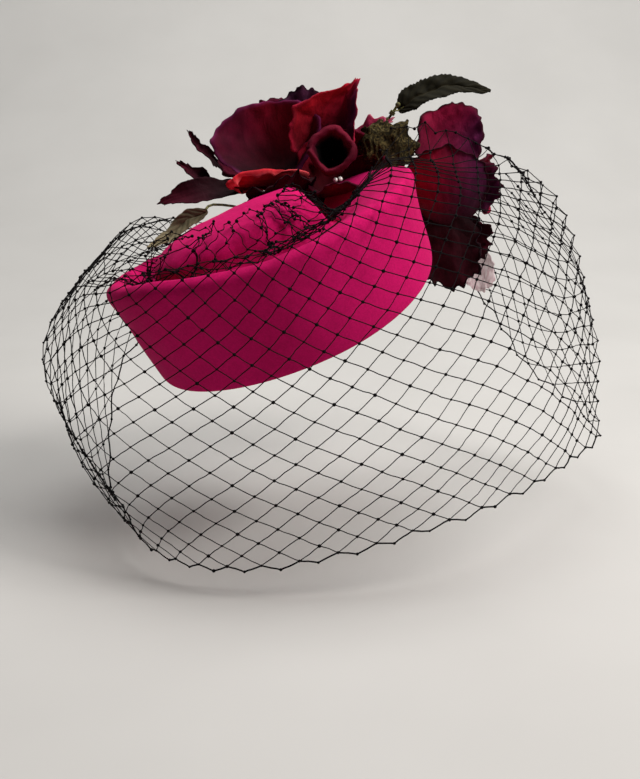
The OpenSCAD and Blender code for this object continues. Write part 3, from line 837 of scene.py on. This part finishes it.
def make_net():
    surface = NetSurface()
    columns = int(round(surface.length / CELL))
    places = net_places(columns)
    share = np.array([p[2] for p in places])
    height = np.maximum([p[3] for p in places], HEM_RISE)
    point, loose, total = place_knots(surface, share, height)
    keep = has_net(surface, share, height, total)
    index = {(k, c): n for n, (k, c, _, _) in enumerate(places) if keep[n]}
    edges, thick = net_edges(index)
    paths = net_threads(point[edges], loose[edges].mean(1)[:, None])
    thread_points, thread_faces = tubes(paths, THREAD_R * thick, THREAD_SIDES)
    used = np.array(sorted(index.values()))
    size = KNOT_R * (1 + 0.2 * wobble(point[used], 5, 14)[:, 0])
    knot_points, knot_faces = blob(point[used], size)
    faces = thread_faces + (np.array(knot_faces) + len(thread_points)).tolist()
    net = make_mesh("veil_net", np.concatenate([thread_points, knot_points]), faces, NET)
    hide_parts("veil_front", "veil_back")
    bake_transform(net)


make_net()

# ---- Petals --------------------------------------------------------------------------

RUFFLES = ((2, 0.5), (5, 0.6), (9, 0.35), (14, 0.2))  # waves round a petal and their height
TEARS = (7, 13, 21)
PETAL_T = 0.35
HEART_T = 0.3


def petal_axes(base, tip, facing):
    """A petal's origin and length, and its directions: across, along and to the front."""
    base, tip, facing = (np.array(p, float) for p in (base, tip, facing))
    along = unit(tip - base)
    front = unit(facing - along * (facing @ along))
    return base, np.linalg.norm(tip - base), np.cross(along, front), along, front


def petal_sheet(
    base, tip, facing, width, cup=0.3, arch=0.15, roll=0.0, rim=0.16, ruffle=0.1,
    point=0.0, taper=0.45, fold=0.0, crumple=0.5, seed=1, detail=30,
):
    """A petal from its base and tip, with facing the side that it is hollow towards.

    cup and arch hollow it across and along, roll winds its rim back (radians), ruffle waves
    its edge, fold bends it along the middle, point and taper narrow its tip and its base.
    """
    origin, length, across, along, front = petal_axes(base, tip, facing)
    rng = np.random.default_rng(seed)
    s, t = np.meshgrid(np.linspace(-1, 1, detail), np.linspace(-1, 1, detail), indexing="ij")
    x, y = s * np.sqrt(1 - t * t / 2), t * np.sqrt(1 - s * s / 2)
    r, angle = np.maximum(np.hypot(x, y), 1e-6), np.arctan2(y, x)
    edge = np.clip((r - (1 - rim)) / rim, 0, 1) * smooth((y + 1) / 0.7)
    turn = roll * edge
    spare = rim / max(roll, 0.01)
    reach = np.where(edge > 0, (r - rim * edge) + spare * np.sin(turn), r)
    back = spare * (1 - np.cos(turn)) * width / 2
    waves = sum(np.sin(k * angle + rng.uniform(0, 6.28)) * a for k, a in RUFFLES)
    torn = sum(np.sin(k * angle + rng.uniform(0, 6.28)) for k in TEARS)
    tears = 1 + 0.055 * min(ruffle / 0.1, 2) * r**6 * torn / 2
    x, y = x / r * reach * tears, y / r * reach * tears
    narrow = taper + (1 - taper) * smooth((y + 1) / 1.25)
    narrow = narrow * (1 - point * smooth((y + 0.35) / 1.35))
    flat_x = x * narrow * width / 2
    flat_y = (y + 1) / 2 * length
    depth = cup * width / 2 * x**2 - arch * length * (1 - y**2) + fold * width / 2 * np.abs(x)
    depth = depth - back + ruffle * width / 2 * r**3 * waves
    p = origin + flat_x[..., None] * across + flat_y[..., None] * along + depth[..., None] * front
    creases = 0.7 * wobble(p, 11, seed) + 0.3 * wobble(p, 4, seed + 50)
    return p + crumple * creases * smooth((y[..., None] + 1) / 0.5), x, y, r


def petal_tint(x, y, r, root, left, right, rim, seed):
    """Colours from the root out, from one side to the other, with a darker or lighter rim; the dark root
    is painted shade, the side colours are partly painted light and shade, and a lighter rim is a painted
    highlight.
    """
    root, left, right, rim = (np.array(rgb(c)) for c in (root, left, right, rim))
    # Side to side: partly the velvet's own crimson-to-purple change, partly painted light and shade across
    # the petal.
    side = smooth((x + 0.7) / 1.4)[..., None]
    body = left * (1 - side) + right * side
    # Painted shade: darker towards the root colour at the petal's base, deep in its cup.
    colour = root + (body - root) * smooth((y + 0.9) / 1.5)[..., None]
    # A lighter rim colour is a painted sheen highlight along the petal's edge.
    line = smooth((r - 0.86) / 0.12)[..., None]
    streak = 0.12 * np.sin(np.arctan2(x, y + 1.6) * 46 + seed + 2 * np.sin(5 * y + seed))
    return (colour * (1 - line) + rim * line) * (1 + streak[..., None])


def make_cloth(name, node, sheet, colours, material, thickness, body="crown"):
    """A small cut shape from its grid of points, with its colours and thickness."""
    piece = make_mesh(name, sheet, grid_faces(*sheet.shape[:2]), material)
    colour_attribute(piece, colours.reshape(-1, 3))
    thicken(piece, thickness)
    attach(piece, body)
    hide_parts(node)


def make_petal(name, node, shape, tint, material, thickness=PETAL_T):
    sheet, x, y, r = petal_sheet(**shape)
    colours = petal_tint(x, y, r, *tint, seed=shape["seed"])
    make_cloth(name, node, sheet, colours, material, thickness)


# Colours of a petal: root (painted shade deep in the cup), left side, right side (each partly the velvet's
# own colour, partly painted light and shade) and rim (a lighter rim is a painted sheen highlight).
RED = ("#180306", "#7c0820", "#640625", "#3c0518")
PURPLE = ("#1c030c", "#640a2a", "#460a30", "#2b0512")
DUSK = ("#210716", "#5a2c48", "#4d2844", "#1f0a14")
WINE = ("#120205", "#3f0619", "#300512", "#1a0306")
ROSE = ("#2a0410", "#420a2e", "#900a26", "#29040f")

ROSE_LEFT = {
    1: (dict(base=(-8, 34, 52), tip=(-20, 43, 88), facing=(0.2, -0.92, -0.15), width=54, cup=0.62,
             arch=0.24, roll=1.8, rim=0.08, ruffle=0.05, taper=0.7, seed=1),
        ("#080103", "#4e0822", "#74081c", "#5a1640")),
    2: (dict(base=(6, 25, 54), tip=(-37, 16, 54), facing=(0.05, 0.6, 0.85), width=24, cup=0.45,
             arch=0.03, roll=3.4, rim=0.36, ruffle=0.1, taper=0.85, seed=2),
        ("#4a0610", "#e4303c", "#a00c24", "#f05a60")),
    3: (dict(base=(18, 31, 40), tip=(21, 34, 78), facing=(-0.1, -1, 0.2), width=46, cup=0.5,
             arch=0.26, roll=2.2, rim=0.16, ruffle=0.08, taper=0.95, seed=3), RED),
    # Petal 4's bright red left half and dark purple right half are painted light and shade on the two
    # sides of its fold.
    4: (dict(base=(2, 42, 61), tip=(28, 42, 98), facing=(-0.05, -0.95, 0.1), width=36, cup=0.15,
             arch=0.03, roll=1.6, rim=0.12, ruffle=0.06, point=0.8, fold=0.5, taper=0.9,
             crumple=1.0, seed=4), ("#5a0816", "#c01628", "#400c30", "#a01a34")),
    5: (dict(base=(-2, 48, 62), tip=(5, 50, 94), facing=(-0.1, -1, 0.1), width=30, cup=0.3,
             arch=0.05, roll=0.6, ruffle=0.1, point=0.2, seed=5), DUSK),
    6: (dict(base=(-8, 50, 58), tip=(-6, 53, 91), facing=(0, -1, 0.1), width=38, cup=0.4,
             arch=0.1, roll=1.8, ruffle=0.14, crumple=0.9, seed=6), PURPLE),
    7: (dict(base=(6, 34, 50), tip=(-22, 13, 47.5), facing=(0.1, 0.5, 0.9), width=40, cup=0.4,
             arch=0.1, roll=1.2, ruffle=0.16, taper=0.8, seed=7), WINE),
    8: (dict(base=(4, 31, 47), tip=(34, 18, 55.5), facing=(-0.25, 0.3, 0.9), width=29, cup=0.15,
             arch=0.1, roll=1.5, ruffle=0.16, taper=0.8, seed=8), RED),
    9: (dict(base=(6, 46, 58), tip=(44, 44, 81), facing=(-0.4, -0.6, 0.7), width=24, cup=0.4,
             arch=0.1, roll=2.0, ruffle=0.2, seed=9), ("#2a0410", "#8a2040", "#7c3048", "#b06070")),
    10: (dict(base=(-6, 50, 54), tip=(-34, 64, 70), facing=(0.6, -0.7, 0.5), width=44, cup=0.4,
              arch=0.2, roll=1.8, ruffle=0.12, seed=10), PURPLE),
}

ROSE_RIGHT = {
    1: (dict(base=(58, 36, 58), tip=(81, 43, 85), facing=(-0.15, -1, 0.2), width=36, cup=0.2,
             arch=0.08, roll=1.0, rim=0.1, ruffle=0.08, taper=0.75, point=0.3, fold=0.12,
             crumple=0.8, seed=21),
        ("#5c0826", "#8a0f36", "#4c1038", "#300612")),
    2: (dict(base=(68, 38, 28), tip=(67, 29, 70), facing=(0.15, 1, 0.0), width=42, cup=0.6,
             arch=0.2, roll=1.4, ruffle=0.06, taper=0.75, seed=22), ROSE),
    3: (dict(base=(67, 36, 44), tip=(72, 32, 1), facing=(0.25, 1, 0.1), width=34, cup=0.4,
             arch=0.1, roll=1.8, ruffle=0.2, taper=0.85, crumple=1.1, seed=23),
        ("#180306", "#420716", "#2e0510", "#12030a")),
    4: (dict(base=(72, 46, 36), tip=(88, 37, 60), facing=(-0.4, -1, 0), width=28, cup=0.2,
             arch=0.1, roll=1.2, ruffle=0.18, crumple=0.8, seed=24), PURPLE),
    5: (dict(base=(70, 42, 42), tip=(83, 36, 14), facing=(-0.4, -1, 0.1), width=26, cup=0.2,
             arch=0.1, roll=1.2, ruffle=0.2, crumple=0.9, seed=25), WINE),
    6: (dict(base=(68, 58, 40), tip=(84, 76, 64), facing=(0.5, -0.7, 0.4), width=36, cup=0.4,
             arch=0.2, roll=1.8, ruffle=0.14, seed=26), PURPLE),
    7: (dict(base=(68, 60, 38), tip=(86, 76, 20), facing=(0.6, -0.7, 0.3), width=34, cup=0.4,
             arch=0.2, roll=1.8, ruffle=0.14, seed=27), ROSE),
    8: (dict(base=(74, 54, 42), tip=(94, 56, 62), facing=(0.7, -0.2, -0.3), width=26, cup=0.5,
             arch=0.2, roll=2.0, ruffle=0.1, seed=28), RED),
    9: (dict(base=(74, 54, 38), tip=(94, 58, 26), facing=(0.7, 0.1, 0.6), width=26, cup=0.5,
             arch=0.2, roll=2.0, ruffle=0.1, seed=29), RED),
}

SEPALS = {
    "sepal_long": dict(base=(-24, 26, 50), tip=(-65, 19, 43), facing=(0.1, -0.8, 0.6), width=16,
                       cup=0.3, arch=-0.1, point=0.55, ruffle=0.12, taper=0.8, seed=31),
    "sepal_upper": dict(base=(-35, 27, 59), tip=(-50, 31, 76), facing=(0.3, -0.9, 0.2), width=5.5,
                        cup=0.4, arch=0.07, point=0.6, ruffle=0.22, crumple=0.9, taper=0.7, seed=32),
    "sepal_lower": dict(base=(-37, 25, 53), tip=(-56, 27, 63), facing=(0.3, -0.9, 0.3), width=6.5,
                        cup=0.5, arch=0.12, point=0.4, ruffle=0.25, crumple=0.9, taper=0.7, seed=33),
}

for prefix, rose, cloth, slot in (
    ("rose_left_petal_", ROSE_LEFT, VELVET_DARK, "velvet_dark"),
    ("rose_right_petal_", ROSE_RIGHT, VELVET_BRIGHT, "velvet_bright"),
):
    for number, (shape, tint) in rose.items():
        node = prefix + str(number)
        make_petal("velvet_" + node, node, shape, tint, cloth)
for node, shape in SEPALS.items():
    make_petal("velvet_" + node, node, shape, WINE, VELVET_WINE)
make_petal(
    "organza_cloth", "organza_petal",
    dict(base=(79, 50, 24), tip=(91, 48, -1), facing=(-0.2, -1, 0), width=17, cup=0.2, arch=0.1,
         roll=0.5, ruffle=0.1, taper=0.7, seed=41),
    ("#d9c2c4", "#d9c2c4", "#e2cfd0", "#c9a9ad"), ORGANZA, thickness=0.2,
)
make_petal(
    "moss_cloth", "moss_leaf",
    dict(base=(39, 34, 56), tip=(42, 38, 80), facing=(0, -1, 0.2), width=27, cup=-0.35, arch=-0.2,
         roll=1.5, ruffle=0.16, crumple=1.7, taper=0.9, seed=42, detail=60),
    ("#2a2614", "#46411f", "#5a5430", "#1f1b10"), LEAF_MOSS,
)


# Radius and height of a rolled heart's wall, from its root to its turned lip.
HEART_PROFILE = [
    (0.02, -1.02), (0.5, -0.8), (0.8, -0.3), (0.9, -0.02), (1.0, 0.06), (1.14, 0.0), (1.16, -0.12),
]


def rolled_heart(name, node, at, towards, radius, depth, turns, inner, tint, material):
    """A petal rolled into a spiral cup, from inner (a share of radius) out, its rim turned, its hollow
    darkened with painted shade.
    """
    axis = unit(towards)
    side = unit(np.cross(axis, (0.3, 0.2, 1)))
    other = np.cross(axis, side)
    angle = np.linspace(0, turns * 2 * math.pi, 110)
    profile = spline(HEART_PROFILE, 4)
    grow = inner + (1 - inner) * angle / angle[-1]
    lift = 0.16 * (1 - grow) + 0.05 * np.sin(angle * 2.3)
    r = radius * grow[:, None] * profile[None, :, 0]
    up = depth * (profile[None, :, 1] + lift[:, None])
    squeeze = 1 + 0.08 * np.sin(2 * angle + 1)[:, None]
    p = (
        np.array(at, float)
        + (r * squeeze * np.cos(angle)[:, None])[..., None] * side
        + (r / squeeze * np.sin(angle)[:, None])[..., None] * other
        + up[..., None] * axis
    )
    p = p + 0.5 * wobble(p, 9, 77)
    # Painted shade: the hollow colour, near black deep in the spiral, turns to the lip colour up its wall.
    hollow, lip = (np.array(rgb(c)) for c in tint)
    share = smooth(np.broadcast_to((profile[None, :, 1] + 0.45) / 0.45, p.shape[:2]))[..., None]
    make_cloth(name, node, p, hollow + (lip - hollow) * share, material, HEART_T)


# Each heart's first colour is painted shade for its hollow; the second is its lip's velvet.
rolled_heart(
    "velvet_left_heart", "rose_left_bud", (15, 21, 67), (-0.05, -0.94, 0.34), 9.0, 13, 1.03, 0.92,
    ("#020101", "#5a0a20"), VELVET_DARK,
)
rolled_heart(
    "velvet_right_heart", "rose_right_bud", (88, 56, 44), (0.94, -0.1, 0.3), 8.6, 15, 1.7, 0.35,
    ("#1a0208", "#8c1434"), VELVET_BRIGHT,
)

# ---- Leaves --------------------------------------------------------------------------

VEIN = 0.15  # depth of the veins
POST_AXIS = unit((0.529, -0.213, 0.821))
LEAF_EYE = np.array([43.6, 49.96, 82.3])
LEAF_ROOT = np.array([46.5, 49, 83.5])
EYE_R = 1.1
EYE_TURNS = 2.5
EYE_HALF_HEIGHT = 0.9
EYE_WIRE_R = 0.34


def leaf_sheet(spine, facing, half_width, fold, teeth, depth, droop=0.0, seed=5):
    """A leaf as a grid: along the spine, and across it with the midrib in the middle."""
    middle = spline(spine, 24)
    n = len(middle)
    v = np.linspace(0, 1, n)
    along = unit(np.gradient(middle, axis=0))
    facing = np.broadcast_to(np.array(facing, float), middle.shape)
    front = unit(facing - along * np.sum(facing * along, 1, keepdims=True))
    across = np.cross(along, front)
    u = np.linspace(-1, 1, 25)
    breadth = np.maximum(np.sin(math.pi * v**0.75) ** 0.85 * (1 - 0.25 * v), 0.03)
    saw = (v * teeth) % 1
    rim = 1 - depth * (1 - saw) * (v > 0.06) * (v < 0.96)
    out = np.abs(u)[None]
    x = np.where(out > 0.85, rim[:, None], 1.0) * breadth[:, None] * half_width * u[None]
    veins = VEIN * np.cos(2 * math.pi * (v[:, None] * 9 - out * 1.6)) * (out > 0.04)
    midrib = 0.5 * np.exp(-((u[None] / 0.07) ** 2))
    lift = fold * np.abs(x) + veins - droop * half_width * out**2 - midrib
    p = middle[:, None] + x[..., None] * across[:, None] + lift[..., None] * front[:, None]
    return p + 0.5 * wobble(p, 12, seed), u, veins


def make_leaf(name, node, body, material, slot, colours, **shape):
    p, u, veins = leaf_sheet(**shape)
    dark, light, rib = (np.array(rgb(c)) for c in colours)
    share = np.clip(0.5 + veins / (2 * VEIN), 0, 1)[..., None]
    blade = dark + (light - dark) * share
    middle = np.exp(-((u[None, :] / 0.06) ** 2))[..., None]
    tint = blade * (1 - middle) + rib * middle
    make_cloth(name, node, p, tint, material, PETAL_T, body)


def make_leaf_eye():
    """The stem's end wound round the post: a coil, then a short run to the blade."""
    count = 60
    turns = np.linspace(0, EYE_TURNS * 2 * math.pi, count)[:, None]
    side = unit(np.cross(POST_AXIS, (1, 0, 0)))
    other = np.cross(POST_AXIS, side)
    coil = LEAF_EYE + EYE_R * (np.cos(turns) * side + np.sin(turns) * other)
    coil = coil + np.linspace(-EYE_HALF_HEIGHT, EYE_HALF_HEIGHT, count)[:, None] * POST_AXIS
    run = spline([coil[-1], coil[-1] + (1.0, -0.4, 0.6), LEAF_ROOT, LEAF_ROOT + (2.6, -0.3, 2.0)], 6)
    path = np.concatenate([coil, run[1:]])
    points, faces = tubes(path[None], EYE_WIRE_R, 10)
    eye = make_mesh("leaf_eye", points, faces, TAPE)
    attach(eye, "leaf")


make_leaf(
    "leaf_blade", "large_leaf", "leaf", LEAF_DARK, "leaf_dark", ("#15130a", "#1e1b10", "#2a2416"),
    spine=[LEAF_ROOT, (56, 48, 90), (71, 47, 94.5), (88, 47, 92)], facing=(-0.1, -0.75, 0.65),
    half_width=8.5, fold=0.35, teeth=24, depth=0.12, droop=0.1, seed=6,
)
make_leaf_eye()
make_leaf(
    "taupe_leaf", "small_leaf", "crown", LEAF_DARK, "leaf_taupe", ("#6a6250", "#7a715c", "#897f68"),
    spine=[(-41, 25, 40), (-50, 22, 36), (-58, 16, 29), (-66, 9, 26)], facing=(0.2, -0.8, 0.6),
    half_width=4.6, fold=0.3, teeth=1, depth=0.0, seed=8,
)

# ---- Carried-over pieces -------------------------------------------------------------

KEPT = {
    "buckram_base": BUCKRAM, "edge_wire": THREAD_BLACK, "ribbon_stitches": THREAD_PINK,
    "comb": COMB, "comb_loops": THREAD_BLACK, "flower_mount": FELT,
    "veil_stitches": THREAD_BLACK, "veil_tacks": THREAD_BLACK,
    "rose_left_calyx": TAPE, "rose_left_stem": TAPE, "rose_right_calyx": TAPE,
    "rose_right_stem": TAPE, "leaf_post": TAPE, "small_leaf_stem": TAPE, "pin_heads": PEARL,
}


def paint(name, material):
    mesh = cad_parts[name].data
    mesh.materials.clear()
    mesh.materials.append(material)
    mesh.shade_smooth()


for name, material in KEPT.items():
    paint(name, material)

# ---- Light and floor -----------------------------------------------------------------


FLOOR_Z = -0.098
COVE_START = 0.35
COVE_R = 1.1


def area_light(name, place, size, power, colour=(1, 1, 1), aim=(0.01, 0, 0)):
    data = bpy.data.lights.new(name, "AREA")
    data.size = size
    data.energy = power
    data.color = colour
    light = bpy.data.objects.new(name, data)
    light.location = place
    direction = np.array(aim) - np.array(place)
    yaw = math.atan2(direction[1], direction[0])
    pitch = math.atan2(direction[2], math.hypot(direction[0], direction[1]))
    light.rotation_euler = (math.pi / 2 + pitch, 0, yaw - math.pi / 2)
    bpy.context.scene.collection.objects.link(light)


def make_room():
    """A pale paper floor that curves up into a wall behind the hat."""
    bend = np.linspace(0, math.pi / 2, 60)
    cove = np.stack([COVE_START + COVE_R * np.sin(bend), COVE_R * (1 - np.cos(bend))], 1)
    rows = np.concatenate([[(-1.6, 0)], cove, [(COVE_START + COVE_R, 2.6)]])
    xs = np.linspace(-2.2, 2.2, 9)
    grid = np.array([[(x, y, z + FLOOR_Z) for y, z in rows] for x in xs]) / MM
    mat, tree, shader = new_material("studio_paper", 0.9, Specular_IOR_Level=0.2)
    at = coordinates(tree)
    tone = ramp(tree, noise_value(tree, at, 60, 3), [(0.3, rgb("#b9b7b3")), (0.7, rgb("#bebcb8"))])
    colour_shader(tree, shader, tone)
    floor = make_mesh("floor", grid, grid_faces(len(xs), len(rows)), mat)


def make_light():
    world = bpy.data.worlds.new("studio")
    bpy.context.scene.world = world
    world.use_nodes = True
    background = world.node_tree.nodes["Background"]
    background.inputs["Color"].default_value = (0.93, 0.95, 1.0, 1)
    background.inputs["Strength"].default_value = 0.05
    area_light("key", (0.78, -0.32, 0.85), 0.45, 14, (1.0, 0.97, 0.95))
    area_light("top", (-0.15, 0.15, 1.0), 0.5, 1.5)
    area_light("fill", (0.8, -1.0, 0.45), 0.9, 0.4, (1.0, 0.97, 0.96))
    area_light("backdrop", (0.2, 0.35, 1.5), 1.2, 22, aim=(0.0, 1.1, 0.3))


make_room()
make_light()
